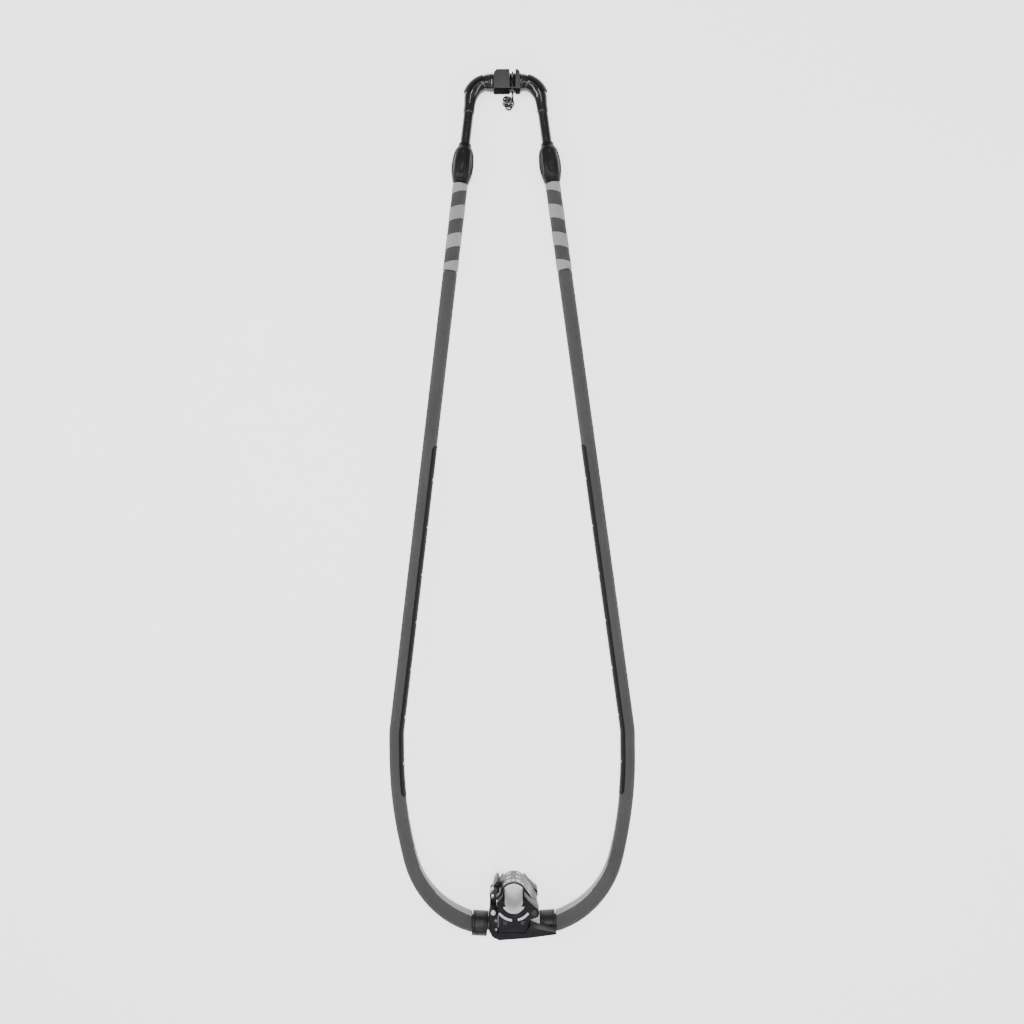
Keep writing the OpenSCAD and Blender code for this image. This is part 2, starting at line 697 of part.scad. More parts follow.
// Route of the outhaul line over the roller and down to its hank, as [x, y, z]
line_route = [[15, 1709, -12], [15, 1712, -6], [15, 1713.4, 2], [15, 1710.6, 10.2], [15, 1704, 16.8],
    [15, 1694, 19.5], [15, 1684, 16.8], [15, 1677.4, 10.2], [15, 1674.6, 2], [14, 1673, -5],
    [12, 1669, -10], [9, 1662, -12.5]];
function unit(v) = v / norm(v);
function route_dir(i) = unit(line_route[min(i + 1, len(line_route) - 1)] - line_route[max(i - 1, 0)]);
module outhaul_line() {
    sides = 8;
    n = len(line_route);
    points = [for (i = [0:n - 1]) let (d = route_dir(i), s = unit([1, 0, 0] - d.x * d), t = cross(d, s))
        each [for (j = [0:sides - 1]) let (a = j * 360 / sides)
            line_route[i] + line_d / 2 * (cos(a) * s + sin(a) * t)]];
    walls = [for (i = [0:n - 2], j = [0:sides - 1]) let (k = (j + 1) % sides)
        each [[i * sides + j, (i + 1) * sides + j, (i + 1) * sides + k],
            [i * sides + j, (i + 1) * sides + k, i * sides + k]]];
    color("#3f3f41") polyhedron(points, concat(walls, [[for (j = [0:sides - 1]) j]],
        [[for (j = [sides - 1:-1:0]) (n - 1) * sides + j]]));
}

module line_hank() {
    color("#3f3f41") translate([0, 0, -23]) {
        translate([6, 1654.5, 0]) cylinder(r = 12.5, h = 12);
        translate([6, 1643, 0]) cylinder(r = 9, h = 12);
    }
}

front_tube();
arm_bend("left");  // left_arm_bend
arm_bend("right");  // right_arm_bend
arm_tube("left");  // left_arm_tube
arm_tube("right");  // right_arm_tube
grip("left");  // left_grip
grip("right");  // right_grip
harness_pad("left");  // left_harness_pad
harness_pad("right");  // right_harness_pad
rear_grip("left");  // left_rear_grip
rear_grip("right");  // right_rear_grip
cuff("left");  // left_cuff
cuff("right");  // right_cuff
lock_base("left");  // left_lock_base
lock_base("right");  // right_lock_base
collet("left");  // left_collet
collet("right");  // right_collet
lock_nut("left");  // left_lock_nut
lock_nut("right");  // right_lock_nut
seal_ring("left");  // left_seal_ring
seal_ring("right");  // right_seal_ring
head_core();
upper_shell();
lower_shell();
mast_insert();
inlay_arcs();
lug_pin();
lever_pin();
front_bushes();
shell_bolts();
lever();
lever_rivets();
link_pin();
link_plates();
strap_band();
strap_lug();
strap_pad();
buckle();
strap_rivets();
leg("left");  // left_leg
leg("right");  // right_leg
corner("left");  // left_corner
corner("right");  // right_corner
bumper("left");  // left_bumper
bumper("right");  // right_bumper
cross_tube();
tail_housing();
tail_cheek();
tail_spacers();
tail_screws();
cleat();
line_roller();
outhaul_line();
line_hank();
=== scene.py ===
import json
import math

import bmesh
import bpy
from mathutils import Matrix, Vector
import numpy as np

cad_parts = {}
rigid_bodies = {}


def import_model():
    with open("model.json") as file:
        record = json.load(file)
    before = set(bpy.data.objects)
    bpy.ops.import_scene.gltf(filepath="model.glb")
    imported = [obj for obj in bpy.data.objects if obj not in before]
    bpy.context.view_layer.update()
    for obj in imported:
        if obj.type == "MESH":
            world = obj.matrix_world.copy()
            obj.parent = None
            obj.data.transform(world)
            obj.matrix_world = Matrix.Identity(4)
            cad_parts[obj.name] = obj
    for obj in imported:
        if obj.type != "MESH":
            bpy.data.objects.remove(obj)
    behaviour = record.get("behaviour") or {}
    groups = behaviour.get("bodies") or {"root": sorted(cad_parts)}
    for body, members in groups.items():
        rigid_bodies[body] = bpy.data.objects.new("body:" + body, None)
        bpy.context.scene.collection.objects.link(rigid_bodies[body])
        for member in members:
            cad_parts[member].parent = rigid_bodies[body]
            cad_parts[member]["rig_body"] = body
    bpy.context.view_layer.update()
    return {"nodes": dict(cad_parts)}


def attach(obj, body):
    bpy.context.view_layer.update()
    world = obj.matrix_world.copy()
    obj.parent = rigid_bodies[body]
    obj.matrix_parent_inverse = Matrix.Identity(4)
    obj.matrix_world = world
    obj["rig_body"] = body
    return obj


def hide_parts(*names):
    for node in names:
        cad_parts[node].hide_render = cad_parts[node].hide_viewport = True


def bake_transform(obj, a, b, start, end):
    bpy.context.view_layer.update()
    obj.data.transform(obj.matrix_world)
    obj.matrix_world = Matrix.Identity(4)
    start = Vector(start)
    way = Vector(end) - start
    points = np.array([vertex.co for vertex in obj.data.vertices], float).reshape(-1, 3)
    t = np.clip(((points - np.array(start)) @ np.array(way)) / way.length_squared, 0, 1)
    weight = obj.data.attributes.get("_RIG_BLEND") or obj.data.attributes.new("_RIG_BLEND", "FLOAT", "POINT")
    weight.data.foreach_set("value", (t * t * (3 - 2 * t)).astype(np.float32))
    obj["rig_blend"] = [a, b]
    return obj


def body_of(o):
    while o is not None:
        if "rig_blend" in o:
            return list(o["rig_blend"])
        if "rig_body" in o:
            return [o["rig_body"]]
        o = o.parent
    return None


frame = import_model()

MM = 0.001
SIDES = {"left": -1, "right": 1}


# ---------- Camera ----------

CAMERA_HEIGHT = 1.87
VIEW_WIDTH = 2.15
BOOM_LEAN = math.radians(0.58)
CAMERA_SPOT = (0.0046, 0.7928)


def make_camera():
    data = bpy.data.cameras.new("camera")
    data.sensor_width = 36
    data.lens = data.sensor_width * CAMERA_HEIGHT / VIEW_WIDTH
    camera = bpy.data.objects.new("camera", data)
    camera.location = (*CAMERA_SPOT, CAMERA_HEIGHT)
    camera.rotation_euler = (0, 0, -BOOM_LEAN)
    bpy.context.scene.collection.objects.link(camera)
    bpy.context.scene.camera = camera


make_camera()


# ---------- Materials ----------

class Shader:
    """One material's nodes, with short ways to add the usual ones."""

    def __init__(self, name, roughness, metallic=0.0):
        self.material = bpy.data.materials.new(name)
        self.material.use_nodes = True
        self.nodes = self.material.node_tree.nodes
        self.links = self.material.node_tree.links
        self.surface = self.nodes["Principled BSDF"]
        self.surface.inputs["Roughness"].default_value = roughness
        self.surface.inputs["Metallic"].default_value = metallic
        self.place = self.nodes.new("ShaderNodeTexCoord").outputs["Object"]

    def join(self, output, target):
        self.links.new(output, target)

    def stretched(self, scale, source=None, turn=(0, 0, 0)):
        node = self.nodes.new("ShaderNodeMapping")
        node.inputs["Scale"].default_value = scale
        node.inputs["Rotation"].default_value = turn
        self.join(source or self.place, node.inputs["Vector"])
        return node.outputs["Vector"]

    def noise(self, scale, detail=3.0, source=None):
        node = self.nodes.new("ShaderNodeTexNoise")
        node.inputs["Scale"].default_value = scale
        node.inputs["Detail"].default_value = detail
        self.join(source or self.place, node.inputs["Vector"])
        return node.outputs["Fac"]

    def cells(self, scale, source=None):
        node = self.nodes.new("ShaderNodeTexVoronoi")
        node.inputs["Scale"].default_value = scale
        self.join(source or self.place, node.inputs["Vector"])
        return node.outputs["Distance"]

    def between(self, fac, low, high, start=0.0, end=1.0):
        """fac from start to end becomes low to high."""
        node = self.nodes.new("ShaderNodeMapRange")
        node.inputs["From Min"].default_value = start
        node.inputs["From Max"].default_value = end
        node.inputs["To Min"].default_value = low
        node.inputs["To Max"].default_value = high
        self.join(fac, node.inputs["Value"])
        return node.outputs["Result"]

    def mix(self, fac, first, second):
        node = self.nodes.new("ShaderNodeMix")
        node.data_type = "RGBA"
        self.join(fac, node.inputs[0])
        for socket, value in zip((node.inputs[6], node.inputs[7]), (first, second)):
            if isinstance(value, tuple):
                socket.default_value = (*value, 1)
            else:
                self.join(value, socket)
        return node.outputs[2]

    def colour(self, value):
        target = self.surface.inputs["Base Color"]
        if isinstance(value, tuple):
            target.default_value = (*value, 1)
        else:
            self.join(value, target)

    def bump(self, height, depth, strength=1.0, previous=None):
        node = self.nodes.new("ShaderNodeBump")
        node.inputs["Strength"].default_value = strength
        node.inputs["Distance"].default_value = depth
        self.join(height, node.inputs["Height"])
        if previous:
            self.join(previous, node.inputs["Normal"])
        return node.outputs["Normal"]

    def finish(self, normal=None, coat=0.0, sheen=0.0, shine=0.5):
        if normal:
            self.join(normal, self.surface.inputs["Normal"])
        self.surface.inputs["Specular IOR Level"].default_value = shine
        self.surface.inputs["Coat Weight"].default_value = coat
        self.surface.inputs["Coat Roughness"].default_value = 0.08
        self.surface.inputs["Sheen Weight"].default_value = sheen
        return self.material


def grey(value, blue=0.0):
    return (value, value, value * (1 + blue))


def foam_material(name, tone, fleck):
    """Closed-cell foam: pebbled, matt, with a slow change of tone and pale flecks."""
    s = Shader(name, 0.86)
    pebbles = s.cells(620)
    pores = s.noise(2600, 2)
    slow = s.noise(9, 3)
    base = s.mix(s.between(slow, 0, 1, 0.35, 0.65), grey(tone * 0.9), grey(tone * 1.1))
    flecked = s.mix(s.between(pores, 0, 1, 0.58, 0.78), base, grey(fleck))
    s.colour(s.mix(s.between(pebbles, 0, 0.5, 0.2, 0.9), flecked, grey(tone * 0.55)))
    s.join(s.between(pores, 0.78, 0.94), s.surface.inputs["Roughness"])
    normal = s.bump(pores, 0.00015, 0.5, s.bump(pebbles, 0.0006, 0.7))
    return s.finish(normal, sheen=0.06, shine=0.2)


def moulded_material(name, tone, roughness=0.45, blue=0.0, wear=0.25, sparks=1500, shine=0.5):
    """Moulded plastic or rubber: spark texture, and a slow change of gloss."""
    s = Shader(name, roughness)
    texture = s.noise(sparks, 2)
    slow = s.noise(22, 4)
    rubbed = s.between(slow, 0, wear, 0.45, 0.75)
    s.colour(s.mix(rubbed, grey(tone, blue), grey(tone * 1.6 + 0.002, blue)))
    s.join(s.between(slow, roughness - 0.08, roughness + 0.12), s.surface.inputs["Roughness"])
    return s.finish(s.bump(texture, 0.00012, 0.45), shine=shine)


def seam_material(name, tone):
    """The glued seam of the foam: a dull red-brown line."""
    s = Shader(name, 0.8)
    slow = s.noise(40, 3)
    bright = (tone * 1.5, tone * 0.55, tone * 0.5)
    dull = (tone, tone * 0.5, tone * 0.45)
    s.colour(s.mix(s.between(slow, 0, 1, 0.35, 0.65), bright, dull))
    return s.finish(s.bump(s.noise(2600, 2), 0.00015, 0.5), shine=0.2)


def steel_material(name, tone=0.55, roughness=0.3):
    """Turned or brushed stainless steel."""
    s = Shader(name, roughness, 1.0)
    brushed = s.noise(60, 4, s.stretched((40, 40, 1.5)))
    s.colour(s.mix(brushed, grey(tone * 0.8), grey(tone * 1.2)))
    s.join(s.between(brushed, roughness - 0.08, roughness + 0.15), s.surface.inputs["Roughness"])
    return s.finish(s.bump(brushed, 0.00004, 0.4))


def carbon_material(name):
    """Gloss black carbon tube: a faint twill under a clear coat, with fine scuffs."""
    s = Shader(name, 0.32)
    place = s.stretched((420, 420, 420), turn=(0, 0, math.radians(45)))
    tows = s.nodes.new("ShaderNodeTexChecker")
    tows.inputs["Scale"].default_value = 1.0
    s.join(place, tows.inputs["Vector"])
    scuffs = s.noise(160, 5, s.stretched((1, 0.12, 1)))
    s.colour(s.mix(tows.outputs["Fac"], grey(0.003), grey(0.006)))
    s.join(s.between(scuffs, 0.2, 0.42, 0.4, 0.8), s.surface.inputs["Roughness"])
    return s.finish(s.bump(scuffs, 0.00003, 0.3), coat=0.7, shine=0.3)


def rope_material(name):
    """Braided line: black strands with white flecks along the helix of the braid."""
    s = Shader(name, 0.75)
    braid = s.nodes.new("ShaderNodeUVMap").outputs["UV"]
    flecks = s.cells(1.0, s.stretched((9, 1.0, 1), braid, (0, 0, math.radians(38))))
    fuzz = s.noise(3200, 2)
    s.colour(s.mix(s.between(flecks, 0, 1, 0.4, 0.3), grey(0.01), grey(0.72)))
    return s.finish(s.bump(fuzz, 0.0002, 0.6), sheen=0.05, shine=0.2)


def webbing_material(name, tone):
    """Flexible nylon band: satin, with fine lengthwise ribs."""
    s = Shader(name, 0.5)
    ribs = s.noise(900, 1, s.stretched((0.15, 0.15, 1)))
    slow = s.noise(35, 3)
    s.colour(s.mix(s.between(slow, 0, 1, 0.3, 0.7), grey(tone * 0.88), grey(tone * 1.15)))
    return s.finish(s.bump(ribs, 0.0002, 0.5))


FOAM_DARK = foam_material("foam_dark", 0.075, 0.13)
FOAM_LIGHT = foam_material("foam_light", 0.36, 0.5)
SEAM_RED = seam_material("seam_red", 0.09)
PAD_BLACK = moulded_material("pad_black", 0.006, 0.55, wear=0.2, shine=0.2)
MARK_PALE = moulded_material("mark_pale", 0.5, 0.6, blue=-0.25)
CUFF_BLACK = moulded_material("cuff_black", 0.006, 0.38, wear=0.2, shine=0.35)
NYLON_BLACK = moulded_material("nylon_black", 0.006, 0.4, wear=0.3, shine=0.25)
SHELL_BLACK = moulded_material("shell_black", 0.005, 0.4, blue=0.5, wear=0.2, shine=0.2)
HOUSING_GREY = moulded_material("housing_grey", 0.05, 0.5, shine=0.3)
# Painted shade for the tail block's side towards the head and its line channel: near-black and matt.
PAINTED_SHADE_BLACK = moulded_material("painted_shade_black", 0.003, 0.85, shine=0.05)
PLASTIC_LIGHT = moulded_material("plastic_light", 0.6, 0.4, blue=0.03, wear=0.35)
INSERT_LIGHT = moulded_material("insert_light", 0.55, 0.45, wear=0.3)
ALLOY_DARK = steel_material("alloy_dark", 0.06, 0.35)
STEEL = steel_material("steel", 0.5)
STEEL_MID = steel_material("steel_mid", 0.2, 0.35)
STEEL_DARK = steel_material("steel_dark", 0.05, 0.4)
CARBON = carbon_material("carbon_gloss")
ROPE = rope_material("rope_braid")
STRAP_GREY = webbing_material("strap_grey", 0.07)
# The pad's pale lining, also used as painted light on the walls of the strap's openings.
LINING_AND_PAINTED_LIGHT = webbing_material("lining_and_painted_light", 0.85)


# ---------- Mesh tools ----------

def add_mesh(name, verts, faces, materials, body, replaced, picks=None, sharp=35):
    """A new piece from points and faces. picks gives each face's material."""
    mesh = bpy.data.meshes.new(name)
    mesh.from_pydata([tuple(v) for v in verts], [], faces)
    for material in materials:
        mesh.materials.append(material)
    if picks:
        mesh.polygons.foreach_set("material_index", picks)
    return place_mesh(name, mesh, body, replaced, sharp)


def place_mesh(name, mesh, body, replaced, sharp):
    tidy = bmesh.new()
    tidy.from_mesh(mesh)
    bmesh.ops.remove_doubles(tidy, verts=tidy.verts, dist=1e-7)
    bmesh.ops.recalc_face_normals(tidy, faces=tidy.faces)
    tidy.to_mesh(mesh)
    tidy.free()
    mesh.shade_smooth()
    mesh.set_sharp_from_angle(angle=math.radians(sharp))
    piece = bpy.data.objects.new(name, mesh)
    bpy.context.scene.collection.objects.link(piece)
    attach(piece, body)
    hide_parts(*replaced)
    return piece


def grid_faces(rows, cols, ends=True):
    """Faces of a tube of rows rings with cols points each, with closed ends."""
    faces = []
    for i in range(rows - 1):
        for j in range(cols):
            k = (j + 1) % cols
            faces.append((i * cols + j, i * cols + k, (i + 1) * cols + k, (i + 1) * cols + j))
    if ends:
        faces.append(tuple(range(cols)))
        faces.append(tuple(range((rows - 1) * cols, rows * cols))[::-1])
    return faces


def loop_faces(rows, cols):
    """Faces of a skin whose last ring joins its first, such as a sleeve's."""
    last = (rows - 1) * cols
    joint = [(last + j, last + (j + 1) % cols, (j + 1) % cols, j) for j in range(cols)]
    return grid_faces(rows, cols, ends=False) + joint


def round_edges(b, corner, offset, miter="SHARP"):
    """Rounds the edges of b whose faces turn by more than corner."""
    edges = [e for e in b.edges if len(e.link_faces) == 2 and e.calc_face_angle(0) > corner]
    bmesh.ops.bevel(b, geom=edges, offset=offset, segments=2, profile=0.6, affect="EDGES",
                    clamp_overlap=True, miter_outer=miter)


# Points of a CAD mesh nearer than this are one, and faces within this turn are one flat face.
CAD_WELD = 2e-6
CAD_FLAT = math.radians(0.6)
CAD_CORNER = math.radians(28)


def refined(node, material, bevel):
    """The CAD node's own shape with its sharp edges rounded, as a new piece."""
    source = frame["nodes"][node]
    mesh = source.data.copy()
    mesh.materials.clear()
    mesh.materials.append(material)
    b = bmesh.new()
    b.from_mesh(mesh)
    bmesh.ops.remove_doubles(b, verts=b.verts, dist=CAD_WELD)
    bmesh.ops.dissolve_limit(b, angle_limit=CAD_FLAT, verts=b.verts, edges=b.edges)
    round_edges(b, CAD_CORNER, bevel, "ARC")
    b.to_mesh(mesh)
    b.free()
    body = body_of(source)[0]
    return place_mesh(f"{node}_shape", mesh, body, (node,), 30)


def lathe(profile, sides):
    """Points and faces of a closed outline [(along, radius), ...] turned round +Z."""
    verts = []
    for along, radius in profile:
        for j in range(sides):
            a = 2 * math.pi * j / sides
            verts.append(Vector((radius * math.cos(a), radius * math.sin(a), along)))
    return verts, loop_faces(len(profile), sides)


# ---------- The arm's path ----------

MAST_TO_TUBE = 69.7 * MM
FRONT_HALF = 64.7 * MM
KINK_TURN = 7.25
KINK_R = 130 * MM
KINK_Y = 333 * MM
ARM_END_Y = 1481.6 * MM
# Radius and headings of the bends from the front tube's end to the straight part
FRONT_BENDS = ((60 * MM, 90, 75), (190 * MM, 75, 14.9), (840 * MM, 14.9, 0))
# The path runs on past the arm's end, for the lock, the leg and the corner
PAST_ARM = 0.3


def bisected(low, high, is_before):
    """The value between low and high at which is_before stops being true."""
    for _ in range(50):
        middle = (low + high) / 2
        if is_before(middle):
            low = middle
        else:
            high = middle
    return low


class ArmPath:
    """The axis of the right arm, measured along its length from the front tube's end."""

    def __init__(self):
        self.legs = []
        self.length = 0.0
        self.spot = Vector((FRONT_HALF, -MAST_TO_TUBE))
        for radius, start, stop in FRONT_BENDS:
            self.bend(radius, start, stop)
        kink_start = KINK_Y - KINK_R * math.tan(math.radians(KINK_TURN / 2))
        self.straight(kink_start - self.spot.y, 0)
        self.bend(KINK_R, 0, -KINK_TURN)
        rear = (ARM_END_Y - self.spot.y) / math.cos(math.radians(KINK_TURN))
        self.straight(rear, -KINK_TURN)
        self.end = self.length
        self.straight(PAST_ARM, -KINK_TURN)

    def bend(self, radius, start, stop):
        length = radius * math.radians(abs(start - stop))
        self.legs.append((self.length, length, self.spot.copy(), radius, start, stop))
        self.length += length
        self.spot = self.at(self.length)[0].xy

    def straight(self, length, heading):
        self.legs.append((self.length, length, self.spot.copy(), 0, heading, heading))
        self.length += length
        self.spot = self.at(self.length)[0].xy

    def at(self, s):
        """(point, outward direction, heading in degrees) at the distance s."""
        for start, length, spot, radius, h0, h1 in self.legs:
            if s <= start + length + 1e-9:
                break
        t = s - start
        if radius:
            h = h0 + (h1 - h0) * t / length
            x = spot.x + radius * (math.cos(math.radians(h)) - math.cos(math.radians(h0)))
            y = spot.y + radius * (math.sin(math.radians(h0)) - math.sin(math.radians(h)))
        else:
            h = h0
            x = spot.x + t * math.sin(math.radians(h))
            y = spot.y + t * math.cos(math.radians(h))
        outward = Vector((math.cos(math.radians(h)), -math.sin(math.radians(h)), 0))
        return Vector((x, y, 0)), outward, h

    def where_y(self, y):
        """The distance at which the axis reaches y, on the part that runs back to the tail."""
        return bisected(0.0, self.length, lambda s: self.at(s)[0].y < y)


ARM = ArmPath()
UP = Vector((0, 0, 1))


def round_at(point, outward, radius, a):
    """The point at angle a round the axis: 0 faces outward, and a quarter turn faces up."""
    return point + radius * (math.cos(a) * outward + math.sin(a) * UP)


def mirrored(points, side):
    return [Vector((SIDES[side] * p.x, p.y, p.z)) for p in points]


def steps(start, stop, size):
    count = max(1, round((stop - start) / size))
    return [start + (stop - start) * i / count for i in range(count + 1)]


def mix(a, b, t):
    return a + (b - a) * t


def smooth(t):
    t = min(1.0, max(0.0, t))
    return t * t * (3 - 2 * t)


# ---------- The outhaul line ----------

LINE_D = 4 * MM
# From the block, round the roller and down to the hank, in millimetres
LINE_ROUTE = [(15, 1709, -12), (15, 1712, -6), (15, 1713.4, 2), (15, 1710.6, 10.2),
              (15, 1704, 16.8), (15, 1694, 19.5), (15, 1684, 16.8), (15, 1677.4, 10.2),
              (15, 1674.6, 2), (14.6, 1672.6, -2)]
HANK_CENTRE = Vector((6, 1658)) * MM
HANK_R = 8.4 * MM
HANK_SHIFT = Vector((3, 4)) * MM
HANK_TOP = -5 * MM
HANK_LOW = -23.6 * MM
HANK_TURNS = 5.8
HANK_ADVANCE = 0.38
HANK_STEPS = 16
CORD_SIDES = 16


def smooth_route(points, size):
    """Points spaced by about size along a smooth curve through the given ones."""
    pts = [points[0] * 2 - points[1]] + points + [points[-1] * 2 - points[-2]]
    made = []
    for i in range(1, len(pts) - 2):
        a, b, c, d = pts[i - 1:i + 3]
        count = max(1, round((c - b).length / size))
        for k in range(count):
            t = k / count
            made.append(0.5 * (2 * b + (c - a) * t + (2 * a - 5 * b + 4 * c - d) * t * t
                               + (3 * b - a - 3 * c + d) * t ** 3))
    return made + [points[-1]]


def hank_spot(turn):
    """A point of the gathered loops after that many turns: each loop lies aside from the last."""
    a = -2 * math.pi * turn
    aside = math.radians(60) + 2 * math.pi * HANK_ADVANCE * turn
    x = HANK_CENTRE.x + HANK_SHIFT.x * math.cos(aside) + HANK_R * math.cos(a)
    y = HANK_CENTRE.y + HANK_SHIFT.y * math.sin(aside) + HANK_R * math.sin(a)
    return Vector((x, y, mix(HANK_TOP, HANK_LOW, turn / HANK_TURNS)))


def line_path():
    route = [Vector(p) * MM for p in LINE_ROUTE]
    turns = [hank_spot(i / HANK_STEPS) for i in range(1, int(HANK_STEPS * HANK_TURNS) + 1)]
    ahead = (turns[-1] - turns[-2]).normalized()
    tail = [turns[-1] + ahead * 4 * MM, turns[-1] + ahead * 9 * MM + Vector((0, 0, -0.3)) * MM]
    return smooth_route(route + turns + tail, 0.7 * MM)


def swept_cord(name, path, diameter, sides):
    """A round cord along path with a braid's low strands, and UVs round and along it."""
    verts, lengths = [], [0.0]
    for a, b in zip(path, path[1:]):
        lengths.append(lengths[-1] + (b - a).length)
    across = Vector((1, 0, 0))
    for i, p in enumerate(path):
        ahead = (path[min(i + 1, len(path) - 1)] - path[max(i - 1, 0)]).normalized()
        across = (across - ahead * across.dot(ahead)).normalized()
        other = ahead.cross(across)
        near_end = min(i, len(path) - 1 - i)
        shrink = (0.55, 0.82, 0.95)[near_end] if near_end < 3 else 1.0
        for j in range(sides):
            a = 2 * math.pi * j / sides
            twist = 2 * math.pi * lengths[i] / (3.2 * diameter)
            strands = math.cos(4 * (a + twist)) * math.cos(4 * (a - twist))
            r = diameter / 2 * shrink * (0.97 + 0.035 * strands)
            verts.append(p + r * (math.cos(a) * across + math.sin(a) * other))
    mesh = bpy.data.meshes.new(name)
    mesh.from_pydata([tuple(v) for v in verts], [], grid_faces(len(path), sides))
    layer = mesh.uv_layers.new(name="braid")
    for face in mesh.polygons:
        around = [mesh.loops[k].vertex_index % sides for k in face.loop_indices]
        wraps = max(around) - min(around) > sides / 2 and len(around) == 4
        for k in face.loop_indices:
            ring, j = divmod(mesh.loops[k].vertex_index, sides)
            turn = (j + sides if wraps and j == 0 else j) / sides
            layer.data[k].uv = (turn, lengths[ring] / (math.pi * diameter))
    mesh.materials.append(ROPE)
    return mesh


def make_line():
    path = line_path()
    mesh = swept_cord("outhaul_rope", path, LINE_D, CORD_SIDES)
    line = place_mesh("outhaul_rope", mesh, "tail", ("outhaul_line", "line_hank"), 60)


make_line()


# ---------- Grips ----------

GRIP_R = 15.1 * MM
GRIP_FRONT_R = 21.5 * MM
GRIP_TAPER_END = 125 * MM
TUBE_R = 13.2 * MM
REAR_GRIP_LENGTH = 184 * MM
REAR_GRIP_R = 16 * MM
GRIP_COLS = 72
CUFF_START = 55 * MM
CUFF_LENGTH = 32.5 * MM
GRIP_START_X = CUFF_START + CUFF_LENGTH + 0.4 * MM
SQUARE_OFF_TURN = 20
GRIP_PLAY = 0.06 * MM
LIP_CUT = 2.2 * MM
LIP_SHOULDER = 0.8 * MM


def grip_radius(y):
    t = min(1.0, max(0.0, (y + MAST_TO_TUBE) / (GRIP_TAPER_END + MAST_TO_TUBE)))
    return GRIP_FRONT_R - (GRIP_FRONT_R - GRIP_R) * t * (2 - t)


GRIP_START = bisected(0.0, ARM.length / 4, lambda s: ARM.at(s)[0].x < GRIP_START_X)
GRIP_START_HEADING = ARM.at(GRIP_START)[2]
REAR_GRIP_START = ARM.end - REAR_GRIP_LENGTH


def grip_outward(s):
    """The grip's first sections face along the cuff, and soon turn to face along the arm."""
    heading = ARM.at(s)[2]
    w = max(0.0, 1 - (GRIP_START_HEADING - heading) / SQUARE_OFF_TURN)
    h = math.radians(heading + (90 - heading) * w * w)
    return Vector((math.cos(h), -math.sin(h), 0))


def light_underside(s, a):
    """Whether the grip is pale at this distance and angle: its underside, rising on the inner side."""
    front = smooth((0.52 - s) / 0.42)
    rise = math.radians(mix(-4, 38, front))
    return math.pi - rise < a < 2 * math.pi - math.radians(24)


def sleeve(name, side, rings, materials, node, picks):
    """A closed skin round the arm. rings holds (distance, radius or a function of the angle) from
    the front outside to the rear, and then back along the bore."""
    verts = []
    for s, radius in rings:
        point = ARM.at(s)[0]
        outward = grip_outward(s)
        for j in range(GRIP_COLS):
            a = 2 * math.pi * (j + 0.5) / GRIP_COLS
            r = radius(a) if callable(radius) else radius
            verts.append(round_at(point, outward, r, a))
    faces = loop_faces(len(rings), GRIP_COLS)
    picks = picks + [0] * (len(faces) - len(picks))
    add_mesh(name, mirrored(verts, side), faces, materials, "boom", (node,), picks)


SEAM_ANGLE = math.radians(4)
SEAM_HALF = math.radians(2.6)
SEAM_DEPTH = 0.5 * MM
SEAM_END_Y = 230 * MM


def make_grip(side):
    bore = TUBE_R + GRIP_PLAY

    def skin(s, change=0.0):
        radius = grip_radius(ARM.at(s)[0].y) + change
        return lambda a: radius - (SEAM_DEPTH if abs(a - SEAM_ANGLE) < SEAM_HALF else 0)

    stations = steps(GRIP_START, REAR_GRIP_START - 2 * MM, 3 * MM)
    front, rear = stations[0], stations[-1]
    rings = [(front, skin(front, -LIP_CUT)), (front + 0.5 * MM, skin(front, -LIP_SHOULDER))]
    rings += [(s, skin(s)) for s in stations[1:-1]]
    rings += [(rear - LIP_SHOULDER, skin(rear, -LIP_SHOULDER)), (rear, skin(rear, -LIP_CUT))]
    outside = len(rings)
    rings += [(s, bore) for s in stations[::-4] + [stations[0]]]

    def finish_at(s, a):
        """0 dark foam, 1 the light underside, 2 the seam, which shows in the front bends."""
        if ARM.at(s)[0].y < SEAM_END_Y and abs(a - SEAM_ANGLE) < 1.5 * SEAM_HALF:
            return 2
        return int(light_underside(s, a))

    picks = [finish_at(rings[i][0], 2 * math.pi * (j + 0.5) / GRIP_COLS)
             for i in range(outside - 1) for j in range(GRIP_COLS)]
    sleeve(f"{side}_grip_foam", side, rings, [FOAM_DARK, FOAM_LIGHT, SEAM_RED],
           f"{side}_grip", picks)


# Slanted bands of the rear grips, as distances from the grip's rear end
BANDS = ((18, 48), (76.5, 106.5), (135, 164.5))
BAND_SLANT = 0.34
SLANT_FADE = 14 * MM
BAND_STEP = 0.45 * MM


